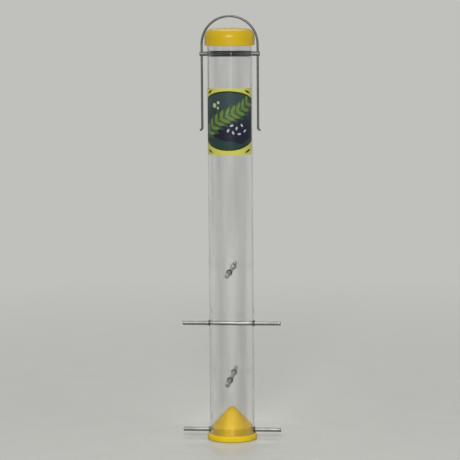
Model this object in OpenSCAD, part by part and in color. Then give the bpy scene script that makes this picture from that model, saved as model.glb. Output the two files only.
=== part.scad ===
// Clear tube finch feeder with four crossing perch rods, a moulded base, a lift-off lid and a wire bail.
// Millimetres, +Z up. The origin is the centre of the base's underside, and -Y is the label's side.

/* [Tube] */
// Outside diameter of the clear tube
tube_od = 63.5; // [50:0.5:90]
// Wall of the clear tube
tube_wall = 2; // [1.2:0.1:3]
// Length of the clear tube
tube_len = 571; // [500:1:700]

/* [Perch rods] */
// Number of perch rods, which lie across the tube by turns along X and along Y
perch_count = 4; // [2:1:5]
// Diameter of the perch rods
perch_d = 6.35; // [4:0.05:9]
// Length of a perch rod
perch_len = 140; // [110:1:200]
// Height of the lowest rod's axis, which crosses the base's spigot
perch_low = 12.75; // [12:0.25:14]
// Height from one rod to the next
perch_pitch = 77; // [50:0.5:85]
// Chamfer at the rods' ends
perch_chamfer = 0.6; // [0.2:0.1:1]
// Radial gap between a fixed rod and the hole that it is pushed through
rod_fit = 0.15; // [0.05:0.05:0.3]

/* [Retaining rings] */
// Thickness of the rubber ring that grips a rod on each side of the tube
ring_t = 1.2; // [1:0.1:2.5]
// Gap between a ring and the tube, and between a ring and its rod
ring_fit = 0.05; // [0.02:0.01:0.1]

/* [Seed ports] */
// Width of a seed slot
port_w = 3; // [1.5:0.1:3.6]
// Height of a seed slot
port_h = 10; // [6:0.5:14]
// Height from a rod's axis to the middle of the slots above it
port_rise = 19; // [17:0.5:24]

/* [Base] */
// How far the base's flange stands out past the tube
base_lip = 3.5; // [2.25:0.25:12]
// Thickness of the flange, on which the tube stands
flange_h = 8; // [7:0.25:8.5]
// Rounding of the flange's edges
flange_round = 2; // [0.5:0.25:3]
// Height of the spigot that fills the tube's foot
spigot_h = 10; // [9:0.5:12]
// Radial gap between the spigot and the tube
spigot_fit = 0.15; // [0.1:0.05:0.4]
// Depth of the hollow under the base
recess_h = 5; // [2:0.25:6]
// Width of the ring that the base stands on
foot_w = 5; // [3:0.25:8]
// Number of ribs in the hollow under the base
rib_count = 6; // [3:1:12]
// Thickness of the ribs
rib_t = 1.6; // [1:0.1:3]
// Height of the ribs' lower edges above the table
rib_rise = 1; // [0.5:0.25:3]

/* [Seed cone] */
// Height to which the cone's flanks would run; it sends the last seed out to the ports
cone_h = 31.5; // [20:0.5:45]
// Wall of the cone
cone_wall = 2; // [1.2:0.1:3]
// Radius of the cone's rounded tip
cone_tip_r = 5; // [3.5:0.25:7]
// Height of the ring on the spigot that centres the cone
cone_ring_h = 2; // [1:0.5:3]
// Gap between that ring and the cone
cone_fit = 0.3; // [0.1:0.05:0.6]

/* [Label] */
// Depth of the label's upper edge below the tube's rim
label_drop = 76; // [65:1:150]
// Height of the label
label_h = 94; // [60:1:110]
// Angle that the label reaches to each side of the front
label_half_angle = 75; // [40:1:85]
// Thickness of the label
label_t = 0.3; // [0.1:0.05:0.5]
// Gap between the label and the tube
label_fit = 0.05; // [0.02:0.01:0.1]

/* [Lid] */
// Radial width of the lid's skirt outside the tube
lid_skirt_w = 3.55; // [3:0.05:4]
// Length of the skirt below the tube's rim
lid_skirt_h = 17; // [10:0.5:20]
// Rise of the lid's shoulder above the tube's rim
lid_shoulder_h = 6.25; // [4:0.25:6.5]
// Rise of the slightly domed top above the shoulder
lid_dome_h = 1.25; // [0.5:0.25:2]
// Rounding of the shoulder
lid_round = 12; // [12:0.5:16]
// Wall of the lid's top
lid_wall = 2.4; // [1.6:0.1:3]
// Radial gap between the lid and the tube, outside and inside
lid_fit = 0.3; // [0.2:0.05:0.6]
// Thickness of the ring that plugs into the tube
lid_plug_t = 1.6; // [1:0.1:2.5]
// Depth of the ring that plugs into the tube
lid_plug_h = 8; // [4:0.5:12]

/* [Bail] */
// Diameter of the bail's wire
wire_d = 3.2; // [2:0.1:3.4]
// Distance from the tube's outside to the middle of each leg of the bail
leg_gap = 7.75; // [7.5:0.25:10.25]
// Height of the arch's spring line below the tube's rim
arch_drop = 15.8; // [12:0.2:16.2]
// Length of the legs below the spring line
leg_len = 117.5; // [100:0.5:140]
// Radius of the bend at the foot of each leg
hook_bend_r = 3; // [2.5:0.25:6]
// Length of the straight end past that bend
hook_len = 0.5; // [0.5:0.25:4]

/* [Bail rod] */
// Diameter of the rod that carries the bail
bail_rod_d = 6.35; // [5.5:0.05:8]
// Depth of that rod's axis below the tube's rim
bail_rod_drop = 29; // [26:0.5:45]
// Radial running gap between that rod and the tube
bail_rod_fit = 0.08; // [0.05:0.01:0.1]
// Radial gap between a leg and its eye in the rod
eye_fit = 0.2; // [0.1:0.05:0.4]
// Metal left between an eye and the rod's end
eye_end = 1.2; // [0.8:0.1:3]
// Wall of the spacer sleeve on the rod inside the tube
sleeve_wall = 0.9; // [0.6:0.1:2]
// Gap between the sleeve's ends and the tube, and between the sleeve and the rod
sleeve_fit = 0.05; // [0.02:0.01:0.1]

/* [Hidden] */
$fn = 96;
tube_r = tube_od / 2;
tube_ri = tube_r - tube_wall;
tube_bottom = flange_h;
tube_top = tube_bottom + tube_len;
perch_r = perch_d / 2;
hole_r = perch_r + rod_fit;
base_r = tube_r + base_lip;
spigot_r = tube_ri - spigot_fit;
spigot_top = flange_h + spigot_h;
cone_slope = atan(cone_h / spigot_r);
cone_tip_z = cone_h - cone_tip_r / cos(cone_slope);
cone_ring_w = 2;
cone_ring_r = spigot_r - cone_wall / sin(cone_slope) - cone_ring_h / tan(cone_slope) - cone_fit;
label_r = tube_r + label_fit;
label_z = tube_top - label_drop - label_h;
lid_r = tube_r + lid_skirt_w;
lid_low = tube_top - lid_skirt_h;
lid_shoulder = tube_top + lid_shoulder_h;
lid_dome_r = lid_r - lid_round;
lid_top = lid_shoulder + lid_dome_h;
dome_sphere_r = (pow(lid_dome_r, 2) + pow(lid_dome_h, 2)) / (2 * lid_dome_h);
plug_r = tube_ri - lid_fit;
wire_r = wire_d / 2;
leg_x = tube_r + leg_gap;
arch_z = tube_top - arch_drop;
leg_foot = arch_z - leg_len;
bail_rod_z = tube_top - bail_rod_drop;
bail_rod_r = bail_rod_d / 2;
eye_r = wire_r + eye_fit;
bail_rod_half = leg_x + eye_r + eye_end;
sleeve_r = bail_rod_r + sleeve_fit + sleeve_wall;
sleeve_half = sqrt(pow(tube_ri, 2) - pow(sleeve_r, 2)) - sleeve_fit;
past = 1;

// Names of perch rod i, counted from 0 at the bottom, and of its ring on one side: -1 is left or front.
function perch_name(i) = str("perch_", i + 1);
function ring_side(i, side) = perch_turn(i) == 0 ? ["left", "right"][(side + 1) / 2]
                                                : ["front", "back"][(side + 1) / 2];
function ring_name(i, side) = str(perch_name(i), "_ring_", ring_side(i, side));

// Height of perch rod i.
function perch_z(i) = perch_low + i * perch_pitch;

// Turn about Z of perch rod i: even rods lie along X, odd rods along Y.
function perch_turn(i) = (i % 2) * 90;

// Places its children in perch rod i's own frame, with the rod along X.
module at_perch(i) {
  translate([0, 0, perch_z(i)]) rotate([0, 0, perch_turn(i)]) children();
}

// A rod along X, centred, with a chamfer at both ends.
module rod_x(r, half, chamfer) {
  rotate([0, 90, 0]) rotate_extrude()
    polygon([[0, -half], [r - chamfer, -half], [r, chamfer - half],
             [r, half - chamfer], [r - chamfer, half], [0, half]]);
}

// A seed slot through the wall on the +X side, upright and with round ends.
module port_cut() {
  reach = tube_wall + 2 * past;
  straight = (port_h - port_w) / 2;
  translate([tube_ri - past, 0, port_rise]) {
    translate([0, -port_w / 2, -straight]) cube([reach, port_w, 2 * straight]);
    for (side = [-1, 1])
      translate([0, 0, side * straight]) rotate([0, 90, 0]) cylinder(r = port_w / 2, h = reach);
  }
}

module tube() {
  color([0.86, 0.89, 0.9, 0.35]) difference() {
    translate([0, 0, tube_bottom]) cylinder(r = tube_r, h = tube_len);
    translate([0, 0, tube_bottom - past]) cylinder(r = tube_ri, h = tube_len + 2 * past);
    for (i = [0 : perch_count - 1]) at_perch(i) {
      rotate([0, 90, 0]) cylinder(r = hole_r, h = tube_od + 2 * past, center = true);
      port_cut();
      rotate([0, 0, 180]) port_cut();
    }
    translate([0, 0, bail_rod_z]) rotate([0, 90, 0])
      cylinder(r = bail_rod_r + bail_rod_fit, h = tube_od + 2 * past, center = true);
  }
}

// A curved sheet on the front of the tube.
module label() {
  color([0.75, 0.72, 0.28]) translate([0, 0, label_z]) rotate([0, 0, -90 - label_half_angle])
    rotate_extrude(angle = 2 * label_half_angle)
      translate([label_r, 0]) square([label_t, label_h]);
}

// Half section of the flange, with rounded edges.
module flange_section() {
  translate([0, 0]) square([base_r - flange_round, flange_h]);
  translate([0, flange_round]) square([base_r, flange_h - 2 * flange_round]);
  for (z = [flange_round, flange_h - flange_round])
    translate([base_r - flange_round, z]) circle(r = flange_round);
}

module base() {
  recess_r = base_r - foot_w;
  color([0.9, 0.76, 0.1]) {
    difference() {
      union() {
        rotate_extrude() flange_section();
        cylinder(r = spigot_r, h = spigot_top);
        translate([0, 0, spigot_top - past]) cylinder(r = cone_ring_r, h = cone_ring_h + past);
      }
      translate([0, 0, -past]) cylinder(r = recess_r, h = recess_h + past);
      translate([0, 0, spigot_top]) cylinder(r = cone_ring_r - cone_ring_w, h = cone_ring_h + past);
      translate([0, 0, perch_low]) rotate([0, 90, perch_turn(0)])
        cylinder(r = hole_r, h = 2 * base_r, center = true);
    }
    for (i = [0 : rib_count - 1]) rotate([0, 0, (i + 0.5) * 360 / rib_count])
      translate([0, -rib_t / 2, rib_rise]) cube([recess_r + foot_w / 2, rib_t, recess_h]);
  }
}

// Half section of a solid cone from foot_z up, whose tip of radius tip_r lies about cone_tip_z.
module cone_section(foot_r, foot_z, tip_r) {
  touch_z = cone_tip_z + tip_r * cos(cone_slope);
  polygon([[0, foot_z], [foot_r, foot_z], [tip_r * sin(cone_slope), touch_z], [0, touch_z]]);
  intersection() {
    translate([0, cone_tip_z]) circle(r = tip_r);
    translate([0, touch_z]) square([tip_r, tip_r]);
  }
}

// The cone is an even shell that stands on the spigot and is rounded at its tip.
module seed_cone() {
  foot_in = spigot_r - cone_wall / sin(cone_slope) + past / tan(cone_slope);
  color([0.85, 0.7, 0.14]) translate([0, 0, spigot_top]) rotate_extrude() difference() {
    cone_section(spigot_r, 0, cone_tip_r);
    cone_section(foot_in, -past, cone_tip_r - cone_wall);
  }
}

module perch(i) {
  color([0.62, 0.62, 0.6]) at_perch(i) rod_x(perch_r, perch_len / 2, perch_chamfer);
}

// A rubber ring of round section on rod i, against the tube on its -X side (side = -1) or +X side.
module perch_ring(i, side) {
  color([0.08, 0.08, 0.08]) at_perch(i)
    translate([side * (tube_r + ring_fit + ring_t / 2), 0, 0]) rotate([0, 90, 0]) rotate_extrude()
      translate([perch_r + ring_fit + ring_t / 2, 0]) circle(r = ring_t / 2, $fn = 32);
}

// The rod that carries the bail, with an eye through each end for a leg.
module bail_rod() {
  color([0.6, 0.6, 0.6]) difference() {
    translate([0, 0, bail_rod_z]) rod_x(bail_rod_r, bail_rod_half, perch_chamfer);
    for (side = [-1, 1])
      translate([side * leg_x, 0, bail_rod_z]) cylinder(r = eye_r, h = 2 * bail_rod_d, center = true);
  }
}

module bail_rod_sleeve() {
  color([0.12, 0.13, 0.13]) translate([0, 0, bail_rod_z]) rotate([0, 90, 0]) difference() {
    cylinder(r = sleeve_r, h = 2 * sleeve_half, center = true);
    cylinder(r = bail_rod_r + sleeve_fit, h = 2 * sleeve_half + past, center = true);
  }
}

// One leg of the bail on the +X side, with its end bent outwards.
module bail_leg() {
  translate([leg_x, 0, leg_foot]) cylinder(r = wire_r, h = leg_len);
  translate([leg_x + hook_bend_r, 0, leg_foot]) rotate([90, 0, 0]) rotate([0, 0, 180])
    rotate_extrude(angle = 90) translate([hook_bend_r, 0]) circle(r = wire_r);
  translate([leg_x + hook_bend_r, 0, leg_foot - hook_bend_r]) rotate([0, 90, 0])
    cylinder(r = wire_r, h = hook_len);
}

module bail() {
  color([0.45, 0.46, 0.46]) {
    translate([0, 0, arch_z]) rotate([90, 0, 0])
      rotate_extrude(angle = 180) translate([leg_x, 0]) circle(r = wire_r);
    bail_leg();
    mirror([1, 0, 0]) bail_leg();
  }
}

// Half section of the lid's outside: skirt, rounded shoulder and shallow dome.
module lid_outside() {
  translate([0, lid_low]) square([lid_r, lid_shoulder - lid_round - lid_low]);
  translate([0, lid_low]) square([lid_dome_r, lid_shoulder - lid_low]);
  translate([lid_dome_r, lid_shoulder - lid_round]) circle(r = lid_round);
  intersection() {
    translate([0, lid_top - dome_sphere_r]) circle(r = dome_sphere_r, $fn = 360);
    translate([0, lid_shoulder - past]) square([lid_dome_r, lid_dome_h + 2 * past]);
  }
}

module lid() {
  color([0.85, 0.68, 0.1]) rotate_extrude() difference() {
    lid_outside();
    translate([plug_r, lid_low - past]) square([tube_r + lid_fit - plug_r, lid_skirt_h + past]);
    translate([0, lid_low - past]) square([plug_r + past, lid_skirt_h - lid_plug_h + past]);
    intersection() {
      translate([0, lid_low - past]) square([plug_r - lid_plug_t, lid_top - lid_low]);
      translate([0, lid_top - dome_sphere_r]) circle(r = dome_sphere_r - lid_wall, $fn = 360);
    }
    translate([-lid_r, lid_low - past]) square([lid_r, lid_top]);
  }
}

tube();
label();
base();
seed_cone();
for (i = [0 : perch_count - 1]) {
  perch(i);
  for (side = [-1, 1])
    perch_ring(i, side);
}
bail_rod();
bail_rod_sleeve();
bail();
lid();
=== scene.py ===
"""Clear tube bird feeder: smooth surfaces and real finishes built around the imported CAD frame."""

import math

import bpy
import numpy as np
from mathutils import Matrix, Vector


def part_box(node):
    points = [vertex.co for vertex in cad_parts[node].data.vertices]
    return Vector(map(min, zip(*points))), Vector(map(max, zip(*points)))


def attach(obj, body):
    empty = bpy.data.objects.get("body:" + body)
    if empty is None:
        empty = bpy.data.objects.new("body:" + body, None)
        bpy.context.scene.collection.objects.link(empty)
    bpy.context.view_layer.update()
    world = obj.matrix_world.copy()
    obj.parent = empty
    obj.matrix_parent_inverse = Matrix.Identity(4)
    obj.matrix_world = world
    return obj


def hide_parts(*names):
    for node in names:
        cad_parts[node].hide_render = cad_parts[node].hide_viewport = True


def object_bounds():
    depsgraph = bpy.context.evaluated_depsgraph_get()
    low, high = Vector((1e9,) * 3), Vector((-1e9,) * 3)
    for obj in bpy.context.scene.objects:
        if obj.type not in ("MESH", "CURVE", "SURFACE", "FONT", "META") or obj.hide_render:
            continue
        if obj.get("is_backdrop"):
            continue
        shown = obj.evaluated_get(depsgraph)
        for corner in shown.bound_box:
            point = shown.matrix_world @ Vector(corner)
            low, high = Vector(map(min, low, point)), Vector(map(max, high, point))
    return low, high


bl_info = {
    "name": "Tube Bird Feeder",
    "version": (1, 0, 0),
    "blender": (4, 5, 0),
    "location": "View3D > Sidebar > Feeder",
    "description": "Builds a clear tube feeder with perch rods, a yellow base and lid, and a bail",
    "category": "Add Mesh",
}

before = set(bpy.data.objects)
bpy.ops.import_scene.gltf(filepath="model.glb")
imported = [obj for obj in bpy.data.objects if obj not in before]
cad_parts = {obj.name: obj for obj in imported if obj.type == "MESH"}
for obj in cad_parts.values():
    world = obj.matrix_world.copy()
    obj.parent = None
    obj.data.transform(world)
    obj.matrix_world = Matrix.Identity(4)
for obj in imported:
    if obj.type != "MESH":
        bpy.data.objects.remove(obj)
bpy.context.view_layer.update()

MM = 0.001
SHARP_EDGE = math.radians(35)
EVEN = (1.0, 1.0, 1.0)


# ---- sizes from the frame


def span(node, axis):
    """Lowest and highest value of a CAD node along X, Y or Z."""
    low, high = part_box(node)
    k = "XYZ".index(axis)
    return low[k], high[k]


def middle(node):
    """Centre of a CAD node's box."""
    low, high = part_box(node)
    return np.array(low + high) / 2


def perch_names():
    """The perch rods' nodes, from the lowest up."""
    return sorted(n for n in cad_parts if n.startswith("perch_") and "ring" not in n)


def rod_radius(node):
    """Radius of a rod that lies level."""
    return span(node, "Z")[1] - middle(node)[2]


def lies_along(node):
    """The axis that a rod lies along, X or Y."""
    low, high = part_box(node)
    return "Y" if high[1] - low[1] > high[0] - low[0] else "X"


# ---- outlines and faces


def arc(centre, radius, start, end, count):
    """Points of an arc: centre + radius (cos a, sin a), a going from start to end degrees."""
    a = np.radians(np.linspace(start, end, count))
    return np.column_stack((centre[0] + radius * np.cos(a), centre[1] + radius * np.sin(a)))


def circle(radius, count=48, centre=(0, 0)):
    """Points of a whole circle, none of them twice."""
    return arc(centre, radius, 0, 360, count + 1)[:-1]


def joined(*parts):
    """One outline from points and arcs, in order."""
    return np.vstack([np.atleast_2d(np.asarray(p, float)) for p in parts])


def wall_outline(inner, outer, low, high, edge, count, rows=()):
    """Section of a tube's wall with rounded edges. Rows are heights of more points on its sides."""
    return joined(
        arc((inner + edge, low + edge), edge, 180, 270, count),
        arc((outer - edge, low + edge), edge, 270, 360, count),
        np.column_stack((np.full(len(rows), outer), rows)),
        arc((outer - edge, high - edge), edge, 0, 90, count),
        arc((inner + edge, high - edge), edge, 90, 180, count),
        np.column_stack((np.full(len(rows), inner), rows[::-1])),
    )


def slot_outline(width, height, count=12):
    """A slot with round ends, upright, about its own middle."""
    r, straight = width / 2, (height - width) / 2
    return joined(arc((0, straight), r, 0, 180, count), arc((0, -straight), r, 180, 360, count))


def grid_faces(rows, columns, wrap_rows, wrap_columns):
    """Quads between neighbours of a grid whose point (i, j) has number i * columns + j."""
    i = np.arange(rows if wrap_rows else rows - 1)[:, None]
    j = np.arange(columns if wrap_columns else columns - 1)[None, :]
    i2, j2 = (i + 1) % rows, (j + 1) % columns
    corners = (i * columns + j, i * columns + j2, i2 * columns + j2, i2 * columns + j)
    return np.stack([np.broadcast_to(c, (i.size, j.size)) for c in corners], -1).reshape(-1, 4)


def prism_faces(count):
    """Faces between two outlines of count points each, and one at each end."""
    ends = [list(range(count)), list(range(2 * count - 1, count - 1, -1))]
    return grid_faces(2, count, False, True).tolist() + ends


def outward(points, faces):
    """A closed mesh's faces, turned round if they enclose a negative volume: the sum of their
    tetrahedra to the origin."""
    corners = (points[face] for face in faces)
    volume = sum(np.cross(p[1:-1] - p[0], p[2:] - p[0]).dot(p[0]).sum() for p in corners)
    return faces if volume > 0 else [face[::-1] for face in faces]


def length_along(points):
    """Distance of each point from the first, along the line through all of them."""
    steps = np.linalg.norm(np.diff(points, axis=0), axis=1)
    return np.concatenate(([0], np.cumsum(steps)))


# ---- meshes


def read(items, name, width=1, kind=np.float32):
    """One property of all items of a mesh, as an array with so many columns."""
    values = np.empty(len(items) * width, kind)
    items.foreach_get(name, values)
    return values.reshape(-1, width) if width > 1 else values


def new_object(name, data):
    """An object in the scene, which takes the place of an older one of that name."""
    old = bpy.data.objects.get(name)
    if old is not None:
        bpy.data.objects.remove(old)
    made = bpy.data.objects.new(name, data)
    bpy.context.scene.collection.objects.link(made)
    return made


def new_piece(name, points, faces, material=None, uv=None):
    """A mesh object at the origin from arrays, smooth except at its sharp edges."""
    mesh = bpy.data.meshes.new(name)
    mesh.from_pydata(np.asarray(points, float), [], faces)
    mesh.validate()
    if uv is not None:
        corner = read(mesh.loops, "vertex_index", kind=np.int32)
        layer = mesh.uv_layers.new(name="UVMap")
        layer.data.foreach_set("uv", np.asarray(uv, np.float32)[corner].ravel())
    mesh.shade_smooth()
    mesh.set_sharp_from_angle(angle=SHARP_EDGE)
    if material is not None:
        mesh.materials.append(material)
    return new_object(name, mesh)


def weigh_normals(piece):
    """Lets the large faces set the shading, so that flats stay flat beside narrow rounded edges."""
    modifier = piece.modifiers.new("Weighted Normals", "WEIGHTED_NORMAL")
    modifier.keep_sharp = True
    return piece


def turned(points, axis):
    """Points of a shape about Z, laid along another axis: Z goes to X, or Z goes to Y."""
    order = {"X": (2, 0, 1), "Y": (1, 2, 0), "Z": (0, 1, 2)}
    return points[:, order[axis]]


def lathe(name, outline, material, axis="Z", at=(0, 0, 0), segments=128):
    """A surface of revolution, P(i, v) = (r_i cos v, r_i sin v, h_i), about an axis through at.
    An outline that starts and ends at r = 0 closes at two poles, and any other is a loop in itself.
    Its UV map is (arc round the axis, length along the outline), in metres."""
    r, h = np.asarray(outline, float).T
    poles = r[0] < 1e-9 and r[-1] < 1e-9
    if poles:
        r, h, tips = r[1:-1], h[1:-1], (h[0], h[-1])
    v = np.linspace(0, 2 * math.pi, segments, endpoint=False)
    points = np.stack((r[:, None] * np.cos(v), r[:, None] * np.sin(v), h[:, None] + 0 * v), -1)
    points = points.reshape(-1, 3)
    faces = grid_faces(len(r), segments, not poles, True).tolist()
    along = length_along(np.column_stack((r, h)))
    uv = np.stack(np.broadcast_arrays(v[None, :] * r.max(), along[:, None]), -1).reshape(-1, 2)
    if poles:
        near = np.arange(segments)
        far, last = (near + 1) % segments, (len(r) - 1) * segments
        tip = np.full(segments, len(points))
        faces += np.column_stack((tip, far, near)).tolist()
        faces += np.column_stack((tip + 1, last + near, last + far)).tolist()
        points = np.vstack((points, [[0, 0, tips[0]], [0, 0, tips[1]]]))
        uv = np.vstack((uv, [[0, 0], [0, along[-1]]]))
    points = turned(points, axis) + np.asarray(at, float)
    return new_piece(name, points, outward(points - np.asarray(at), faces), material, uv)


def prism(name, outline, reach, axis, at):
    """A closed prism: a flat outline carried as far to both sides along an axis through at."""
    ends = [np.column_stack((outline, np.full(len(outline), h))) for h in (-reach, reach)]
    points = turned(np.vstack(ends), axis) + np.asarray(at, float)
    faces = outward(points - np.asarray(at), prism_faces(len(outline)))
    return new_piece(name, points, faces)


def sweep(name, path, side, radius, material, segments=32):
    """A round bar along a flat path whose plane has the normal side.
    P(i, v) = path_i + radius_i (n_i cos v + side sin v), where n_i is side crossed with the
    tangent. Its UV map is (arc round the bar, length along the path), in metres."""
    path, side = np.asarray(path, float), np.asarray(side, float)
    tangent = np.gradient(path, axis=0)
    tangent /= np.linalg.norm(tangent, axis=1)[:, None]
    normal = np.cross(side, tangent)
    v = np.linspace(0, 2 * math.pi, segments, endpoint=False)
    ring = normal[:, None, :] * np.cos(v)[None, :, None] + side * np.sin(v)[None, :, None]
    points = (path[:, None, :] + radius[:, None, None] * ring).reshape(-1, 3)
    uv = np.stack(np.broadcast_arrays(v[None, :] * radius.max(), length_along(path)[:, None]), -1)
    faces = grid_faces(len(path), segments, False, True).tolist()
    faces += [list(range(segments))[::-1], list(range(len(points) - segments, len(points)))]
    return new_piece(name, points, outward(points, faces), material, uv.reshape(-1, 2))


def cut(piece, tools):
    """Cuts the tools out of a piece and keeps the result as its own mesh."""
    for tool in tools:
        modifier = piece.modifiers.new("Boolean", "BOOLEAN")
        modifier.operation = "DIFFERENCE"
        modifier.solver = "EXACT"
        modifier.object = tool
    graph = bpy.context.evaluated_depsgraph_get()
    result = bpy.data.meshes.new_from_object(piece.evaluated_get(graph))
    piece.modifiers.clear()
    old, piece.data = piece.data, result
    bpy.data.meshes.remove(old)
    result.name = piece.name
    for tool in tools:
        bpy.data.meshes.remove(tool.data)
    result.set_sharp_from_angle(angle=SHARP_EDGE)


def radial_normals(piece, radii, slack):
    """Gives the faces of upright cylinders about Z their exact normals, whatever the cuts did."""
    mesh = piece.data
    corner = read(mesh.loops, "vertex_index", kind=np.int32)
    corners_of_face = read(mesh.polygons, "loop_total", kind=np.int32)
    normals = read(mesh.corner_normals, "vector", 3)
    facing = np.repeat(read(mesh.polygons, "normal", 3), corners_of_face, axis=0)
    flat = read(mesh.vertices, "co", 3)[corner] * (1, 1, 0)
    radius = np.linalg.norm(flat, axis=1)
    out = flat / np.maximum(radius, 1e-9)[:, None]
    side = np.sum(out * facing, axis=1)
    near = np.min([np.abs(radius - r) for r in radii], axis=0) < slack
    chosen = near & (np.abs(side) > 0.99)
    normals[chosen] = out[chosen] * np.sign(side[chosen])[:, None]
    mesh.normals_split_custom_set(normals.tolist())


# ---- materials


def linear(hex_colour):
    """Linear RGBA from an sRGB hex colour such as "E8B51C"."""
    s = np.array([int(hex_colour[i : i + 2], 16) for i in (0, 2, 4)]) / 255
    return (*np.where(s <= 0.04045, s / 12.92, ((s + 0.055) / 1.055) ** 2.4), 1.0)


def add_node(tree, kind, inputs=(), **settings):
    """Adds a shader node and returns its outputs. Inputs are values, or sockets to link from, in
    the node's own order or by name or number. Settings are its properties."""
    made = tree.nodes.new("ShaderNode" + kind)
    for key, value in settings.items():
        setattr(made, key, value)
    for key, value in inputs.items() if isinstance(inputs, dict) else enumerate(inputs):
        socket = made.inputs[key]
        if isinstance(value, bpy.types.NodeSocket):
            tree.links.new(value, socket)
        else:
            socket.default_value = value
    return made.outputs


def new_material(name):
    """An empty material of that name, and its tree. Building it again renews it in place, for all
    the pieces that share it."""
    material = bpy.data.materials.get(name) or bpy.data.materials.new(name)
    material.use_nodes = True
    material.node_tree.nodes.clear()
    return material, material.node_tree


def pattern(tree, source, stretch, scale, detail=2.0, roughness=0.5):
    """A cloudy pattern from 0 to 1 with so many grains to the metre, on Object or UV coordinates
    that are stretched by three factors."""
    place = add_node(tree, "TexCoord")[source]
    place = add_node(tree, "Mapping", {"Vector": place, "Scale": stretch})[0]
    grain = {"Vector": place, "Scale": scale, "Detail": detail, "Roughness": roughness}
    return add_node(tree, "TexNoise", grain)[0]


def place_axes(tree):
    """X, Y and Z of the Object coordinates."""
    return add_node(tree, "SeparateXYZ", (add_node(tree, "TexCoord")["Object"],))


def clouded(tree, value, low, high, colour, factor):
    """A colour that darkens to itself times the factor while a value goes from low to high."""
    dark = tuple(factor * c for c in colour[:3]) + (1.0,)
    cover = add_node(tree, "MapRange", (value, low, high, 0.0, 1.0))[0]
    return add_node(tree, "Mix", {0: cover, 6: colour, 7: dark}, data_type="RGBA")[2]


def surfaced(material, relief, depth, inputs):
    """The material with a Principled surface: these inputs, and relief that deep in metres."""
    tree = material.node_tree
    bump = add_node(tree, "Bump", {"Height": relief, "Strength": 1.0, "Distance": depth})[0]
    shader = add_node(tree, "BsdfPrincipled", {"Normal": bump, **inputs})[0]
    add_node(tree, "OutputMaterial", (shader,))
    return material


def painted_reflection_bands(tree):
    """How dark the tube's wall is painted, from 0 to 1: painted reflection, upright bands that
    stand in for the room reflected in the clear wall. There are six soft bands, evenly spaced round
    the tube with a clear line in front, that waver by a few degrees along it. They show most near
    the foot; higher up the bands are uneven, 8 to 15 mm wide, and wander over some 300 mm of
    length."""
    x, y, z = place_axes(tree)
    around = add_node(tree, "Math", (x, y), operation="ARCTAN2")[0]
    waver = pattern(tree, "Object", (0.0, 0.0, 1.0), 14.0)
    turn = add_node(tree, "MapRange", (waver, 0.3, 0.7, -0.6, 0.6))[0]
    six = add_node(tree, "Math", (around, 6.0, turn), operation="MULTIPLY_ADD")[0]
    wave = add_node(tree, "Math", (six,), operation="COSINE")[0]
    even = add_node(tree, "MapRange", (wave, 0.6, -0.6, 0.0, 0.8))[0]
    wander = pattern(tree, "Object", (1.0, 1.0, 0.06), 85.0, 2.0, 0.45)
    uneven = add_node(tree, "MapRange", (wander, 0.42, 0.62, 0.3, 1.2))[0]
    upward = add_node(tree, "MapRange", (z, 0.22, 0.36, 0.0, 0.75))[0]
    return add_node(tree, "Mix", {0: upward, 2: even, 3: uneven}, data_type="FLOAT")[0]


def clear_polycarbonate(colours):
    """Extruded polycarbonate tube: glass-clear, with soft upright bands of painted reflection where
    the wall's colour is a shade darker, and a haze of handling marks. Lamps light through it, as
    they do through a real clear wall."""
    material, tree = new_material("clear_polycarbonate_extruded")
    # The finer lines lie 3 mm apart, and the marks are about 17 mm wide.
    lines = pattern(tree, "Object", (1.0, 1.0, 0.004), 330.0, 3.0, 0.55)
    marks = pattern(tree, "Object", (1.0, 1.0, 0.35), 60.0, 4.0, 0.6)
    bump = {"Height": lines, "Strength": 1.0, "Distance": 0.04 * MM}
    shader = add_node(
        tree,
        "BsdfPrincipled",
        {
            # Painted reflection: darker upright bands in the wall's colour.
            "Base Color": clouded(tree, painted_reflection_bands(tree), 0.0, 1.0, linear(colours.tube), 0.86),
            "Roughness": add_node(tree, "MapRange", (marks, 0.4, 0.75, 0.04, 0.16))[0],
            "Normal": add_node(tree, "Bump", bump)[0],
            "IOR": 1.58,
            "Transmission Weight": 1.0,
            "Specular Tint": linear("BEBEBE"),
        },
    )[0]
    through = add_node(tree, "BsdfTransparent", (linear("F2F2F2"),))[0]
    to_lamp = add_node(tree, "LightPath")["Is Shadow Ray"]
    both = add_node(tree, "MixShader", (to_lamp, shader, through))[0]
    add_node(tree, "OutputMaterial", (both,))
    return material


def moulded_yellow(name, hex_colour, painted_shade_colour=None, level=0.0):
    """Injection-moulded yellow ABS: even colour a little cloudy with the flow of the melt, a fine
    satin skin from the mould and a soft shine. Above the level it has the painted shade colour, if
    there is one: a darker yellow that paints in the shade on what stands inside the tube."""
    material, tree = new_material(name)
    # The flow's clouds are about 18 mm wide and twice as high, and the grains of the mould's
    # spark-eroded skin about 0.4 mm.
    flow = pattern(tree, "Object", (1.0, 1.0, 0.5), 55.0, 3.0)
    yellow = clouded(tree, flow, 0.3, 0.75, linear(hex_colour), 0.91)
    # Painted shade: above the level the yellow goes over to the darker shade colour.
    if painted_shade_colour:
        inside = (place_axes(tree)["Z"], level, level + 0.3 * MM, 0.0, 1.0)
        parts = {0: add_node(tree, "MapRange", inside)[0], 6: yellow, 7: linear(painted_shade_colour)}
        yellow = add_node(tree, "Mix", parts, data_type="RGBA")[2]
    skin = pattern(tree, "Object", EVEN, 2500.0, 2.0, 0.6)
    shine = add_node(tree, "MapRange", (flow, 0.2, 0.8, 0.28, 0.42))[0]
    inputs = {"Base Color": yellow, "Roughness": shine, "IOR": 1.54, "Specular IOR Level": 0.25}
    return surfaced(material, skin, 0.025 * MM, inputs)


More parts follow.
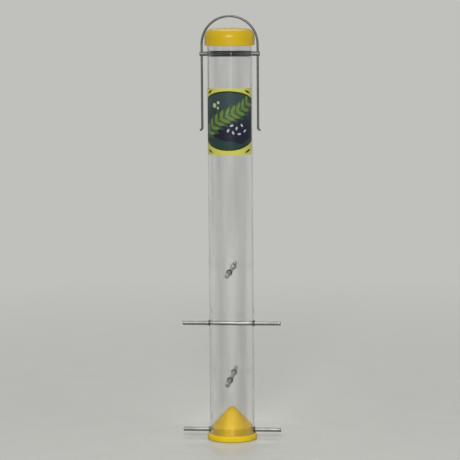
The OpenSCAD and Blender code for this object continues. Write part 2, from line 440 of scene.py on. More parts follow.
def drawn_metal(name, hex_colour, rough):
    """Drawn bar or wire: fine lines along its length from the die, which spread its highlight round
    it, and slight changes of shine from handling."""
    material, tree = new_material(name)
    # Draw lines are about 0.25 mm apart round the bar and 40 mm long, and the clouds 11 mm wide.
    lines = pattern(tree, "UV", (1.0, 0.006, 1.0), 4000.0)
    cloud = pattern(tree, "Object", EVEN, 90.0, 3.0, 0.55)
    metal = clouded(tree, cloud, 0.35, 0.7, linear(hex_colour), 0.72)
    shine = add_node(tree, "MapRange", (lines, 0.3, 0.7, rough - 0.06, rough + 0.1))[0]
    inputs = {"Base Color": metal, "Roughness": shine, "Metallic": 1.0}
    return surfaced(material, lines, 0.02 * MM, inputs)


def nitrile_rubber(colours):
    """Moulded nitrile rubber: near black, matt, with a faint grain of about 0.3 mm."""
    material, tree = new_material("nitrile_rubber_moulded")
    inputs = {"Base Color": linear(colours.rubber), "Roughness": 0.62, "IOR": 1.52}
    return surfaced(material, pattern(tree, "Object", EVEN, 3000.0), 0.02 * MM, inputs)


def painted_shade_sleeve(colours):
    """Extruded vinyl, very dark grey-green, painted shade for the lid's shadow on the bail rod,
    with a soft shine and faint rings 0.8 mm apart.
    """
    material, tree = new_material("vinyl_sleeve_extruded")
    colour = {"Base Color": linear(colours.sleeve), "Roughness": 0.55}
    rings = pattern(tree, "UV", (0.02, 1.0, 1.0), 1200.0)
    return surfaced(material, rings, 0.02 * MM, {**colour, "IOR": 1.53, "Specular IOR Level": 0.3})


def printed_film(colours):
    """Satin vinyl film, screen printed: flat inks with crisp edges, a little uneven where they lie
    thick, and a soft low shine. The mottle of the inks is 1.4 mm wide, coarser than a real mesh
    leaves it, so that it shows."""
    material, tree = new_material("vinyl_film_screen_printed")
    mottle = pattern(tree, "UV", EVEN, 700.0, 3.0, 0.6)
    inks = linear(colours.night)
    for motif, ink, edge in LABEL_LAYERS:
        distance = add_node(tree, "Attribute", attribute_name=motif)["Fac"]
        covers = add_node(tree, "MapRange", (distance, -edge, edge, 1.0, 0.0))[0]
        over = clouded(tree, mottle, 0.35, 0.65, linear(getattr(colours, ink)), 0.82)
        inks = add_node(tree, "Mix", {0: covers, 6: inks, 7: over}, data_type="RGBA")[2]
    inputs = {"Base Color": inks, "Roughness": 0.4, "IOR": 1.5, "Specular IOR Level": 0.3}
    return surfaced(material, mottle, 0.008 * MM, inputs)


def film_back(colours):
    """The unprinted back of the vinyl film: off-white and matt, with a grain of about 1 mm."""
    material, tree = new_material("vinyl_film_back")
    inputs = {"Base Color": linear(colours.film_back), "Roughness": 0.5, "IOR": 1.5}
    return surfaced(material, pattern(tree, "UV", EVEN, 900.0), 0.01 * MM, inputs)


# ---- the label's design

# Each ink over the last on the night blue: its motif, its colour, and half the width of its edge.
CRISP = 0.12 * MM
LABEL_LAYERS = (
    ("dusk", "dusk", 16 * MM),
    ("hills", "teal", CRISP),
    ("leaves_back", "leaf_dark", CRISP),
    ("leaves", "leaf", CRISP),
    ("berries", "pale", CRISP),
    ("seeds", "seed", CRISP),
    ("ground", "ground", CRISP),
    ("rim", "rim", CRISP),
    ("corners", "rim", CRISP),
)
# The middle and the radius of each berry, and the middle and the turn of each spilled seed.
BERRIES = (((-21, 23), 3.2), ((-14.5, 27), 2.2), ((-15, 19.5), 1.8))
SPILLED = (
    ((5, -5), 20), ((12, -9), 75), ((20, -5), 130), ((25, -13), 40),
    ((16, -17), 5), ((7, -15), 110), ((0, -12), 60),
)


def in_frame_of(u, v, centre, angle):
    """Coordinates u, v in millimetres, moved to a centre and turned back by an angle in degrees."""
    a = math.radians(angle)
    x = (u - centre[0]) * math.cos(a) + (v - centre[1]) * math.sin(a)
    y = -(u - centre[0]) * math.sin(a) + (v - centre[1]) * math.cos(a)
    return x, y


def leaf(u, v, centre, angle, length, width):
    """Distance to a pointed leaf, no further than its tips: |y| - width (1 - (x / length)^2)."""
    x, y = in_frame_of(u, v, centre, angle)
    return np.maximum(np.abs(y) - width * (1 - (x / length) ** 2), np.abs(x) - length)


def oval(u, v, centre, angle, length, width):
    """Distance to an ellipse of those half axes: its scaled radius less 1, times its width."""
    x, y = in_frame_of(u, v, centre, angle)
    return (np.hypot(x / length, y / width) - 1) * width


def beside(place, angle, ahead, aside):
    """The point so far ahead of a place and to its left, for one who faces along the angle."""
    a = math.radians(angle)
    return (
        place[0] + ahead * math.cos(a) - aside * math.sin(a),
        place[1] + ahead * math.sin(a) + aside * math.cos(a),
    )


def label_motifs(u, v):
    """The label's motifs as distances in metres, below 0 inside, over the arc u and height v from
    its middle. In millimetres, the panel's bowed top is v = 43 - u^2 / 150 and its foot is
    v = -40 + u^2 / 140. The leaves stand in pairs along a stem that climbs across the panel in a
    slow wave, each pair turned with the stem. The seeds lie as if spilled under it. The hills are
    all that lies under the sum of two sines."""
    u, v = u / MM, v / MM
    panel = np.maximum(v - 43 + u**2 / 150, -v - 40 + u**2 / 140)
    hills = v + 27 - 3.0 * np.sin(u / 9.5 + 3.2) - 1.4 * np.sin(u / 4.1)
    front, back = [], []
    for step in np.linspace(0, 1, 9):
        stem = (-33 + 62 * step, -15 + 43 * step + 3.6 * math.sin(5.2 * step))
        lean = math.degrees(math.atan2(43 + 18.7 * math.cos(5.2 * step), 62))
        for side in (1, -1):
            near, far = beside(stem, lean, 3.4, side * 5.0), beside(stem, lean, -1.0, side * 6.6)
            front.append(leaf(u, v, near, lean + side * 46, 7.4, 2.6))
            back.append(leaf(u, v, far, lean + side * 62, 9.0, 3.4))
        front.append(leaf(u, v, stem, lean, 5.0, 0.9))
    corners = [
        leaf(u, v, (side * 31, end * 41.5), side * end * -24, 6.5, 1.5)
        for side in (-1, 1)
        for end in (-1, 1)
    ]
    motifs = {
        "dusk": 8 - v,
        "hills": hills,
        "leaves_back": np.min(back, 0),
        "leaves": np.min(front, 0),
        "berries": np.min([oval(u, v, place, 0, r, r) for place, r in BERRIES], 0),
        "seeds": np.min([oval(u, v, place, turn, 2.6, 1.4) for place, turn in SPILLED], 0),
        "ground": -panel,
        "rim": np.abs(panel + 0.9) - 1.3,
        "corners": np.min(corners, 0),
    }
    return {name: distance * MM for name, distance in motifs.items()}


# ---- sizes and colours to set


def a_length(name, description, mm):
    """A length in metres, given here in millimetres."""
    return bpy.props.FloatProperty(
        name=name, description=description, default=mm * MM, min=0.0, precision=4, unit="LENGTH"
    )


def an_angle(name, description, degrees):
    """An angle, given here in degrees."""
    return bpy.props.FloatProperty(
        name=name, description=description, default=math.radians(degrees), subtype="ANGLE"
    )


def a_colour(name, description, hex_colour):
    """A colour as an sRGB hex string."""
    return bpy.props.StringProperty(name=name, description=description, default=hex_colour)


class FeederSizes(bpy.types.PropertyGroup):
    """Sizes that the frame's boxes don't give"""

    tube_wall: a_length("Tube wall", "Thickness of the clear tube", 2.0)
    tube_edge: a_length("Tube edge", "Rounding of the tube's cut ends", 0.35)
    rod_fit: a_length("Rod fit", "Radial gap between a rod and its hole in the tube", 0.15)
    rod_edge: a_length("Rod edge", "Rounding of the rods' ends", 0.7)
    port_width: a_length("Port width", "Width of a seed slot", 3.0)
    port_height: a_length("Port height", "Height of a seed slot", 10.0)
    port_rise: a_length("Port rise", "Height of a slot's middle over the rod below it", 19.0)
    flange_edge: a_length("Flange edge", "Rounding of the base's flange", 2.0)
    recess_depth: a_length("Recess depth", "Depth of the hollow under the base", 5.0)
    foot_width: a_length("Foot width", "Width of the ring under the base, with its edges", 5.0)
    cone_wall: a_length("Cone wall", "Wall of the seed cone", 2.0)
    cone_tip: a_length("Cone tip", "Radius of the seed cone's rounded tip", 5.0)
    lid_round: a_length("Lid round", "Rounding of the lid's shoulder", 12.0)
    lid_dome: a_length("Lid dome", "Rise of the lid's domed top over its shoulder", 1.25)
    lid_wall: a_length("Lid wall", "Wall of the lid's top", 2.4)
    lid_plug_wall: a_length("Lid plug wall", "Wall of the ring that plugs into the tube", 1.6)
    lid_plug_depth: a_length("Lid plug depth", "Depth of that ring in the tube", 8.0)
    lid_fit: a_length("Lid fit", "Radial gap between the lid and the tube", 0.3)
    eye_inset: a_length("Eye inset", "From the bail rod's end to the leg through it", 3.0)
    eye_fit: a_length("Eye fit", "Radial gap between a leg and its eye", 0.2)
    hook_bend: a_length("Hook bend", "Radius of the bend at the foot of each leg", 3.0)
    label_thickness: a_length("Label thickness", "Thickness of the label's film", 0.3)


class FeederColours(bpy.types.PropertyGroup):
    """Colours as sRGB hex strings"""

    tube: a_colour("Tube", "Clear polycarbonate", "FEFEFE")
    lid: a_colour("Lid", "Yellow plastic of the lid", "C4A40C")
    # Painted light: the base gets a brighter copy of the yellow than the lid, for its lit flange.
    base: a_colour("Base", "Yellow plastic of the base", "E2C208")
    # Painted shade: the spigot's part inside the tube gets a darker yellow than the flange.
    spigot: a_colour("Spigot", "Yellow plastic of the base inside the tube", "A08206")
    # Painted shade: the cone inside the tube gets a darker copy of the yellow than the lid and
    # base.
    cone: a_colour("Seed cone", "Yellow plastic of the seed cone", "A68700")
    rod: a_colour("Rods", "Perch rods", "8E8E8A")
    wire: a_colour("Wire", "Bail wire and bail rod", "6E6F70")
    rubber: a_colour("Rubber", "Retaining rings", "1B1B1B")
    # Painted shade: the sleeve's near-black stands in for the lid's shadow on the bail rod.
    sleeve: a_colour("Sleeve", "Sleeve on the bail rod", "141A1A")
    ground: a_colour("Label ground", "Ground at the label's ends", "C4C258")
    rim: a_colour("Label rim", "Line round the panel", "262E12")
    night: a_colour("Label night", "Lower part of the panel", "0C1022")
    dusk: a_colour("Label dusk", "Upper part of the panel", "2E4042")
    teal: a_colour("Label hills", "Hills at the panel's foot", "193634")
    leaf: a_colour("Label leaves", "Leaves in front", "62783A")
    leaf_dark: a_colour("Label dark leaves", "Leaves behind", "2C4832")
    pale: a_colour("Label berries", "Berries", "ACB484")
    seed: a_colour("Label seeds", "Seeds", "B2B7C0")
    film_back: a_colour("Label back", "Unprinted side of the film", "ECECE6")
    floor: a_colour("Floor", "Paint of the floor", "C8C8C3")
    surround: a_colour("Surround", "Background, and the floor far away", "C0C0BC")


class FeederView(bpy.types.PropertyGroup):
    """Where the camera stands: about the middle of the frame's box"""

    azimuth: an_angle("Azimuth", "Turn of the camera about the feeder, to its right", 5.2526)
    elevation: an_angle("Elevation", "Height of the camera as an angle", 7.0376)
    roll: an_angle("Roll", "Turn of the camera about its own axis", -0.4278)
    distance: a_length("Distance", "From the camera to the point that it looks at", 3334.0)
    aim_forward: a_length("Aim forward", "How far in front of the middle that point lies", 14.8)
    lens: bpy.props.FloatProperty(
        name="Lens",
        description="Focal length on a 36 mm sensor",
        default=184.8,
        subtype="DISTANCE_CAMERA",
    )


# ---- pieces


def finish_piece(piece, body, slot, *nodes):
    """Says what a piece rides on and the CAD nodes that it stands in for. The slot is not used."""
    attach(piece, body)
    if nodes:
        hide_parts(*nodes)


def tube_radii(sizes):
    """Inner and outer radius of the tube."""
    outer = span("tube", "X")[1]
    return outer - sizes.tube_wall, outer


def build_tube(sizes, colours):
    """The clear tube: a lathed wall with rounded rims, cut by the rods' holes and by two seed slots
    above each perch rod. Its rows lie 6 mm apart, so a cut only disturbs the faces round it."""
    inner, outer = tube_radii(sizes)
    low, high = span("tube", "Z")
    e, spacing = sizes.tube_edge, 6 * MM
    rows = np.linspace(low + e, high - e, round((high - low) / spacing))[1:-1]
    outline = wall_outline(inner, outer, low, high, e, 5, rows)
    tube = lathe("tube_clear", outline, clear_polycarbonate(colours), segments=256)
    reach = 1.2 * outer
    port = slot_outline(sizes.port_width, sizes.port_height)
    tools = []
    for name in [*perch_names(), "bail_rod"]:
        axis, z = lies_along(name), middle(name)[2]
        hole = circle(rod_radius(name) + sizes.rod_fit)
        tools.append(prism(f"hole_{name}", hole, reach, axis, (0, 0, z)))
        if name != "bail_rod":
            upright = port[:, ::-1] if axis == "Y" else port
            tools.append(prism(f"port_{name}", upright, reach, axis, (0, 0, z + sizes.port_rise)))
    cut(tube, tools)
    radial_normals(tube, (inner, outer), 0.05 * MM)
    finish_piece(tube, "feeder", "clear_tube", "tube")


def build_label(sizes, colours):
    """The label's film, wrapped on the tube: P(a, z) = (r sin a, -r cos a, z) for an inner and an
    outer radius, joined at their borders. Its motifs are distances stored on its points, and its UV
    map is (arc, height) in metres."""
    low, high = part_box("label")
    r_out = -low[1]
    r_in = r_out - sizes.label_thickness
    half = math.asin(high[0] / r_out)
    # The points lie less than 0.6 mm apart, which draws the motifs' edges smoothly.
    rows, columns = 170, 150
    a, z = np.meshgrid(np.linspace(-half, half, columns), np.linspace(low[2], high[2], rows))
    sheets = [np.stack((r * np.sin(a), -r * np.cos(a), z), -1) for r in (r_out, r_in)]
    points = np.vstack([sheet.reshape(-1, 3) for sheet in sheets])
    front = grid_faces(rows, columns, False, False)
    count = rows * columns
    number = np.arange(count).reshape(rows, columns)
    sides = (number[0, :-1], number[:-1, -1], number[-1, :0:-1], number[:0:-1, 0])
    border = np.concatenate(sides)
    after = np.roll(border, -1)
    rim = np.column_stack((border + count, after + count, after, border))
    faces = np.vstack((front, front[:, ::-1] + count, rim)).tolist()
    arc_length, height = a * r_out, z - (low[2] + high[2]) / 2
    uv = np.tile(np.stack((arc_length, height), -1).reshape(-1, 2), (2, 1))
    label = new_piece("label_film", points, outward(points, faces), printed_film(colours), uv)
    label.data.materials.append(film_back(colours))
    kinds = np.ones(len(faces), np.int32)
    kinds[: len(front)] = 0
    label.data.polygons.foreach_set("material_index", kinds)
    for name, distance in label_motifs(arc_length, height).items():
        layer = label.data.attributes.new(name, "FLOAT", "POINT")
        layer.data.foreach_set("value", np.tile(distance.ravel(), 2).astype(np.float32))
    finish_piece(label, "feeder", "printed_label", "label")


def build_base(sizes, colours):
    """The base: a turned flange and spigot, hollow underneath, with the lowest rod's bore through
    it, a ring that centres the seed cone, and six ribs in the hollow."""
    spigot = span("seed_cone", "X")[1]
    spigot_top, flange_top = span("seed_cone", "Z")[0], span("tube", "Z")[0]
    flange, ring_top = span("base", "X")[1], span("base", "Z")[1]
    hollow, depth = flange - sizes.foot_width, sizes.recess_depth
    e, small, corner = sizes.flange_edge, 0.4 * MM, 1 * MM
    # The ring stands 4.6 mm inside the spigot's edge, and its wall is 2 mm.
    ring_out = spigot - 4.6 * MM
    ring_in = ring_out - 2 * MM
    outline = joined(
        (0, depth),
        arc((hollow - corner, depth - corner), corner, 90, 0, 6),
        arc((hollow + small, small), small, 180, 270, 4),
        arc((flange - e, e), e, 270, 360, 10),
        arc((flange - e, flange_top - e), e, 0, 90, 10),
        (spigot, flange_top),
        arc((spigot - small, spigot_top - small), small, 0, 90, 4),
        (ring_out, spigot_top),
        arc((ring_out - small, ring_top - small), small, 0, 90, 4),
        arc((ring_in + small, ring_top - small), small, 90, 180, 4),
        (ring_in, spigot_top),
        (0, spigot_top),
    )
    # The base's brighter yellow is painted light on the flange.
    name = "yellow_abs_injection_moulded_base"
    # The spigot above the flange takes the darker painted shade colour.
    plastic = moulded_yellow(name, colours.base, colours.spigot, flange_top)
    base = lathe("base_moulding", outline, plastic, segments=256)
    rod = perch_names()[0]
    bore = circle(rod_radius(rod) + sizes.rod_fit)
    cut(base, [prism("bore", bore, 1.2 * flange, "X", (0, 0, middle(rod)[2]))])
    finish_piece(weigh_normals(base), "feeder", "yellow_plastic", "base")
    build_ribs(hollow + sizes.foot_width / 4, depth, plastic)


def build_ribs(reach, top, plastic, count=6):
    """Radial ribs under the base as one piece: a section 1.6 mm wide, rounded below, that is
    carried along each radius from 3 mm off the middle."""
    r, foot, start = 0.8 * MM, 1 * MM, 3 * MM
    section = joined(arc((0, foot + r), r, 180, 360, 9), (r, top), (-r, top))
    points, faces = [], []
    for k in range(count):
        turn = 2 * math.pi * (k + 0.5) / count
        radial = np.array((math.cos(turn), math.sin(turn), 0))
        across = np.array((-math.sin(turn), math.cos(turn), 0))
        flat = section[:, :1] * across + section[:, 1:] * (0, 0, 1)
        rib = np.vstack([d * radial + flat for d in (start, reach)])
        own = outward(rib - rib.mean(0), prism_faces(len(section)))
        faces += [[i + k * len(rib) for i in face] for face in own]
        points.append(rib)
    ribs = new_piece("base_ribs", np.vstack(points), faces, plastic)
    finish_piece(ribs, "feeder", "yellow_plastic")


def build_cone(sizes, colours):
    """The seed cone: an even shell whose flanks run tangent into a rounded tip. The slope is the
    fixed point of tan(slope) = (centre + tip / cos(slope)) / foot, where centre is the height of
    the tip's centre over the foot."""
    (low, high), foot = span("seed_cone", "Z"), span("seed_cone", "X")[1]
    tip, wall, small = sizes.cone_tip, sizes.cone_wall, 0.3 * MM
    centre = high - low - tip
    slope = math.radians(45)
    for _ in range(30):
        slope = math.atan2(centre + tip / math.cos(slope), foot)
    flank = 90 - math.degrees(slope)
    outline = joined(
        arc((0, low + centre), tip - wall, 90, flank, 10),
        (foot - wall / math.sin(slope), low),
        arc((foot - small, low + small), small, 270, 360, 4),
        arc((0, low + centre), tip, flank, 90, 14),
    )
    # The cone's darker yellow is painted shade for its place inside the tube.
    plastic = moulded_yellow("yellow_abs_injection_moulded_cone", colours.cone)
    cone = lathe("seed_cone_moulding", outline, plastic, segments=192)
    finish_piece(weigh_normals(cone), "feeder", "yellow_plastic", "seed_cone")


def bar(name, node, metal, edge, segments):
    """A bar with rounded ends in the place of a CAD node: half a section, turned about its axis."""
    axis, radius = lies_along(node), rod_radius(node)
    half = span(node, axis)[1]
    outline = joined(
        (0, -half),
        arc((radius - edge, edge - half), edge, 270, 360, 7),
        arc((radius - edge, half - edge), edge, 0, 90, 7),
        (0, half),
    )
    return lathe(name, outline, metal, axis, middle(node), segments)


def build_perches(sizes, colours):
    """The perch rods: drawn bars with rounded ends, by turns along X and along Y."""
    metal = drawn_metal("stainless_steel_drawn", colours.rod, 0.42)
    for name in perch_names():
        rod = bar(f"{name}_rod", name, metal, sizes.rod_edge, 64)
        finish_piece(weigh_normals(rod), "feeder", "steel_rod", name)


def build_rings(sizes, colours):
    """The rubber rings that grip the perch rods on both sides of the tube, of round section."""
    rubber = nitrile_rubber(colours)
    for name in sorted(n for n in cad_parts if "_ring_" in n):
        axis = lies_along(name.split("_ring_")[0])
        low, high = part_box(name)
        k = "XY".index(axis)
        section, outer = (high[k] - low[k]) / 2, (high[2] - low[2]) / 2
        outline = circle(section, 24, (outer - section, 0))
        ring = lathe(f"{name}_rubber", outline, rubber, axis, middle(name), segments=64)
        finish_piece(ring, "feeder", "black_rubber", name)


def wire_radius():
    """Radius of the bail's wire."""
    return span("bail", "Y")[1]


def leg_distance(sizes):
    """Distance from the middle of the feeder to each leg of the bail."""
    return span("bail_rod", "X")[1] - sizes.eye_inset


def build_bail_rod(sizes, colours):
    """The rod that carries the bail, with an eye near each end, and on its middle a dark sleeve
    that paints in the lid's shadow.
    """
    centre, radius = middle("bail_rod"), rod_radius("bail_rod")
    metal = drawn_metal("stainless_steel_drawn_dull", colours.wire, 0.5)
    rod = bar("bail_rod_bar", "bail_rod", metal, sizes.rod_edge, 96)
    eye, x = circle(wire_radius() + sizes.eye_fit), leg_distance(sizes)
    cut(rod, [prism(f"eye_{s}", eye, 2 * radius, "Z", (s * x, 0, centre[2])) for s in (-1, 1)])
    finish_piece(weigh_normals(rod), "bail_carrier", "steel_rod", "bail_rod")

    # The sleeve is painted shade: a dark sleeve where the lid shades the rod.
    end, outer = span("bail_rod_sleeve", "X")[1], rod_radius("bail_rod_sleeve")
    gap, edge = 0.05 * MM, 0.2 * MM
    outline = wall_outline(radius + gap, outer, -end, end, edge, 4)
    vinyl = painted_shade_sleeve(colours)
    sleeve = lathe("bail_rod_dark_shade_sleeve", outline, vinyl, "X", centre, segments=64)
    finish_piece(weigh_normals(sleeve), "bail_carrier", "black_sleeve", "bail_rod_sleeve")


def build_bail(sizes, colours):
    """The bail: one wire swept up a leg, over a half circle and down the other leg, with a quarter
    bend outwards and a short straight end at both feet. The last 0.25 mm of both ends is thinner,
    like a cut end that was rounded off."""
    r, x, bend = wire_radius(), leg_distance(sizes), sizes.hook_bend
    (low, high), end = span("bail", "Z"), span("bail", "X")[1]
    spring, foot = high - r - x, low + r + bend
    tip = 0.25 * MM
    half = joined(
        (end, foot - bend),
        (end - tip, foot - bend),
        arc((x + bend, foot), bend, 270, 180, 14),
        np.column_stack((np.full(24, x), np.linspace(foot, spring, 26)[1:-1])),
        arc((0, spring), x, 0, 90, 60)[:-1],
    )
    path = np.vstack((half, [[0, spring + x]], half[::-1] * (-1, 1)))
    thick = np.full(len(path), r)
    thick[[0, -1]] = r - 0.35 * MM
    thick[[1, -2]] = r - 0.08 * MM
    points = np.column_stack((path[:, 0], np.zeros(len(path)), path[:, 1]))
    wire = drawn_metal("galvanised_wire_drawn", colours.wire, 0.38)
    bail = sweep("bail_wire_bent", points, (0, 1, 0), thick, wire, segments=40)
    finish_piece(bail, "bail", "bail_wire", "bail")


def build_lid(sizes, colours):
    """The lid: a turned skirt with a rounded shoulder and a shallow dome, a ring underneath that
    plugs into the tube, and the small dimple of the mould's gate in the middle."""
    outer = span("lid", "X")[1]
    low, top = span("lid", "Z")
    inner_tube, outer_tube = tube_radii(sizes)
    rim, bore = span("tube", "Z")[1], outer_tube + sizes.lid_fit
    plug_end = rim - sizes.lid_plug_depth
    plug_out = inner_tube - sizes.lid_fit
    plug_in = plug_out - sizes.lid_plug_wall
    small, edge = 0.5 * MM, 0.8 * MM
    shoulder, r = top - sizes.lid_dome, sizes.lid_round
    # The dome is part of a sphere that passes through the top and the shoulder's inner edge.
    dome = outer - r
    sphere = (dome**2 + sizes.lid_dome**2) / (2 * sizes.lid_dome)
    under = sphere - sizes.lid_wall
    gate_rim, gate_floor, gate_depth = 2.2 * MM, 1.7 * MM, 0.35 * MM
    dome_deg = math.degrees(math.asin(dome / sphere))
    under_deg = math.degrees(math.asin(plug_in / under))
    gate_deg = math.degrees(gate_rim / sphere)
    outline = joined(
        (0, top - sizes.lid_wall),
        arc((0, top - sphere), under, 90, 90 - under_deg, 24)[1:],
        arc((plug_in + small, plug_end + small), small, 180, 270, 5),
        arc((plug_out - small, plug_end + small), small, 270, 360, 5),
        (plug_out, rim),
        (bore, rim),
        arc((bore + small, low + small), small, 180, 270, 5),
        arc((outer - edge, low + edge), edge, 270, 360, 7),
        arc((dome, shoulder - r), r, 0, 90, 20),
        arc((0, top - sphere), sphere, 90 - dome_deg, 90 - gate_deg, 30)[1:],
        (gate_floor, top - gate_depth),
        (0, top - gate_depth),
    )
    plastic = moulded_yellow("yellow_abs_injection_moulded_lid", colours.lid)
    lid = lathe("lid_moulding", outline, plastic, segments=256)
    finish_piece(weigh_normals(lid), "lid", "yellow_plastic", "lid")


# ---- stage

# Each lamp: its turn to the feeder's right and its rise in degrees, its distance, width and height
# in metres, and its watts.
LAMPS = {
    "top_light": (0, 89, 4.0, 3.4, 3.4, 24),
    "key_light": (2, 26, 4.0, 1.0, 1.0, 110),
    "fill_light": (60, 20, 2.4, 0.9, 1.4, 3),
    "back_light": (185, 50, 4.0, 2.0, 2.0, 46),
    "front_strip": (12, 8, 4.2, 0.5, 1.8, 5),
}
WORLD_LIGHT = 0.23


def floor_material(colours):
    """Painted studio floor: pale, with a faint sheen round the feeder, shaded by it near to, and
    running out into an even glow of the same colour further off so that no horizon shows."""
    material, tree = new_material("studio_paint_satin")
    mottle = pattern(tree, "Object", EVEN, 14.0, 4.0, 0.6)
    place = add_node(tree, "TexCoord")["Object"]
    reach = add_node(tree, "VectorMath", (place,), operation="LENGTH")["Value"]
    inputs = {
        "Base Color": clouded(tree, mottle, 0.35, 0.65, linear(colours.floor), 0.97),
        "Roughness": 0.14,
        "Specular IOR Level": add_node(tree, "MapRange", (reach, 0.05, 0.13, 0.08, 0.0))[0],
    }
    shader = add_node(tree, "BsdfPrincipled", inputs)[0]
    glow = add_node(tree, "Emission", (linear(colours.surround), 1.0))[0]
    far = add_node(tree, "MapRange", (reach, 0.3, 1.6, 0.0, 1.0))[0]
    both = add_node(tree, "MixShader", (far, shader, glow))[0]
    add_node(tree, "OutputMaterial", (both,))
    return material


def build_floor(colours):
    """A round floor, 120 m across and 20 mm thick, with its top at the table's height."""
    level, radius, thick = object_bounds()[0][2], 60.0, 0.02
    outline = joined((0, level - thick), (radius, level - thick), (radius, level), (0, level))
    floor = lathe("floor", outline, floor_material(colours), segments=96)
    floor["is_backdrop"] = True


def set_world(colours, strength):
    """An even surround: its own colour to the eye, in metal and through the tube, and a soft white
    light of the given strength on everything else."""
    world = bpy.data.worlds.get("studio") or bpy.data.worlds.new("studio")
    bpy.context.scene.world = world
    world.use_nodes = True
    tree = world.node_tree
    tree.nodes.clear()
    path = add_node(tree, "LightPath")
    shows = path["Is Camera Ray"]
    for kind in ("Is Glossy Ray", "Is Transmission Ray"):
        shows = add_node(tree, "Math", (shows, path[kind]), operation="MAXIMUM")[0]
    light = add_node(tree, "Background", (linear("FFFFFF"), strength))[0]
    surround = add_node(tree, "Background", (linear(colours.surround), 1.0))[0]
    both = add_node(tree, "MixShader", (shows, light, surround))[0]
    add_node(tree, "OutputWorld", (both,))


def direction(azimuth, elevation):
    """From the feeder towards a place so far round to its right and so high, both in radians."""
    flat = math.cos(elevation)
    return np.array((math.sin(azimuth) * flat, -math.cos(azimuth) * flat, math.sin(elevation)))


def looking(place, forward, roll):
    """A matrix that stands at a place and looks along forward, turned by roll about that line."""
    right = np.cross(forward, (0, 0, 1))
    right /= np.linalg.norm(right)
    up = np.cross(right, forward)
    across = math.cos(roll) * right + math.sin(roll) * up
    above = math.cos(roll) * up - math.sin(roll) * right
    matrix = np.eye(4)
    matrix[:3] = np.column_stack((across, above, -forward, place))
    return Matrix(matrix.tolist())


def soft_box(name, azimuth, elevation, distance, width, height, watts):
    """A rectangular lamp that faces the feeder's middle from azimuth and elevation in degrees."""
    low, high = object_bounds()
    away = direction(math.radians(azimuth), math.radians(elevation))
    lamp = bpy.data.lights.new(name, "AREA")
    lamp.shape, lamp.size, lamp.size_y, lamp.energy = "RECTANGLE", width, height, watts
    box = new_object(name, lamp)
    box.visible_camera = False
    box.matrix_world = looking(np.array(low + high) / 2 + distance * away, -away, 0.0)


def build_camera(view):
    """The camera, which looks at the middle of the frame's box."""
    low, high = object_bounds()
    aim = np.array((0, -view.aim_forward, (low[2] + high[2]) / 2))
    away = direction(view.azimuth, view.elevation)
    lens = bpy.data.cameras.new("camera")
    lens.lens, lens.sensor_width, lens.sensor_fit = view.lens, 36.0, "HORIZONTAL"
    camera = new_object("camera", lens)
    camera.matrix_world = looking(aim + view.distance * away, -away, view.roll)
    bpy.context.scene.camera = camera


def build_stage(colours, view):
    """Floor, surround, lamps and camera."""
    bpy.context.scene.view_settings.view_transform = "Standard"
    build_floor(colours)
    set_world(colours, WORLD_LIGHT)
    for name, lamp in LAMPS.items():
        soft_box(name, *lamp)
    build_camera(view)


# ---- operators and panel


def settings(context):
    """The sizes and the colours that the user has set."""
    return context.scene.feeder_sizes, context.scene.feeder_colours


class FEEDER_OT_tube(bpy.types.Operator):
    """Build the clear tube with its rod holes and seed slots"""

    bl_idname = "feeder.tube"
    bl_label = "Clear Tube"

    def execute(self, context):
        build_tube(*settings(context))
        return {"FINISHED"}


class FEEDER_OT_label(bpy.types.Operator):
    """Build the printed film on the tube's front"""

    bl_idname = "feeder.label"
    bl_label = "Label"

    def execute(self, context):
        build_label(*settings(context))
        return {"FINISHED"}


class FEEDER_OT_base(bpy.types.Operator):
    """Build the base with its spigot and ribs"""

    bl_idname = "feeder.base"
    bl_label = "Base"

    def execute(self, context):
        build_base(*settings(context))
        return {"FINISHED"}


class FEEDER_OT_cone(bpy.types.Operator):
    """Build the seed cone that stands on the base"""

    bl_idname = "feeder.cone"
    bl_label = "Seed Cone"

    def execute(self, context):
        build_cone(*settings(context))
        return {"FINISHED"}


class FEEDER_OT_perches(bpy.types.Operator):
    """Build the perch rods"""

    bl_idname = "feeder.perches"
    bl_label = "Perch Rods"

    def execute(self, context):
        build_perches(*settings(context))
        return {"FINISHED"}


class FEEDER_OT_rings(bpy.types.Operator):
    """Build the rubber rings on the perch rods"""

    bl_idname = "feeder.rings"
    bl_label = "Rubber Rings"

    def execute(self, context):
        build_rings(*settings(context))
        return {"FINISHED"}


class FEEDER_OT_bail_rod(bpy.types.Operator):
    """Build the rod that carries the bail, with its sleeve"""

    bl_idname = "feeder.bail_rod"
    bl_label = "Bail Rod and Sleeve"

    def execute(self, context):
        build_bail_rod(*settings(context))
        return {"FINISHED"}


class FEEDER_OT_bail(bpy.types.Operator):
    """Build the wire bail"""

    bl_idname = "feeder.bail"
    bl_label = "Wire Bail"

    def execute(self, context):
        build_bail(*settings(context))
        return {"FINISHED"}


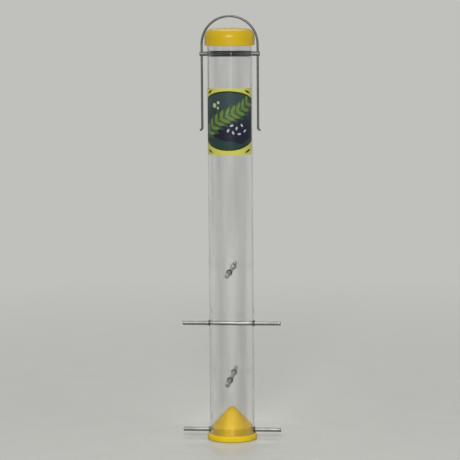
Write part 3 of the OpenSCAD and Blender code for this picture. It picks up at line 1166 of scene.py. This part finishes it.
class FEEDER_OT_lid(bpy.types.Operator):
    """Build the lid"""

    bl_idname = "feeder.lid"
    bl_label = "Lid"

    def execute(self, context):
        build_lid(*settings(context))
        return {"FINISHED"}


class FEEDER_OT_stage(bpy.types.Operator):
    """Set up the floor, the lamps and the camera"""

    bl_idname = "feeder.stage"
    bl_label = "Stage"

    def execute(self, context):
        build_stage(context.scene.feeder_colours, context.scene.feeder_view)
        return {"FINISHED"}


PIECES = (
    FEEDER_OT_tube,
    FEEDER_OT_label,
    FEEDER_OT_base,
    FEEDER_OT_cone,
    FEEDER_OT_perches,
    FEEDER_OT_rings,
    FEEDER_OT_bail_rod,
    FEEDER_OT_bail,
    FEEDER_OT_lid,
    FEEDER_OT_stage,
)


class FEEDER_PT_panel(bpy.types.Panel):
    """Sizes, colours and a button for each piece"""

    bl_label = "Tube Bird Feeder"
    bl_idname = "FEEDER_PT_panel"
    bl_space_type = "VIEW_3D"
    bl_region_type = "UI"
    bl_category = "Feeder"

    def draw(self, context):
        for group in (*settings(context), context.scene.feeder_view):
            column = self.layout.box().column()
            for name in group.__annotations__:
                column.prop(group, name)
        for piece in PIECES:
            self.layout.operator(piece.bl_idname)


CLASSES = (FeederSizes, FeederColours, FeederView, *PIECES, FEEDER_PT_panel)


def register():
    """Registers the classes and hangs the settings on the scene."""
    for cls in CLASSES:
        bpy.utils.register_class(cls)
    bpy.types.Scene.feeder_sizes = bpy.props.PointerProperty(type=FeederSizes)
    bpy.types.Scene.feeder_colours = bpy.props.PointerProperty(type=FeederColours)
    bpy.types.Scene.feeder_view = bpy.props.PointerProperty(type=FeederView)


def unregister():
    """Takes the settings and the classes away again."""
    del bpy.types.Scene.feeder_view
    del bpy.types.Scene.feeder_colours
    del bpy.types.Scene.feeder_sizes
    for cls in reversed(CLASSES):
        bpy.utils.unregister_class(cls)


def main():
    """Builds every piece in order."""
    register()
    for piece in PIECES:
        group, name = piece.bl_idname.split(".")
        getattr(getattr(bpy.ops, group), name)()


if __name__ == "__main__":
    main()
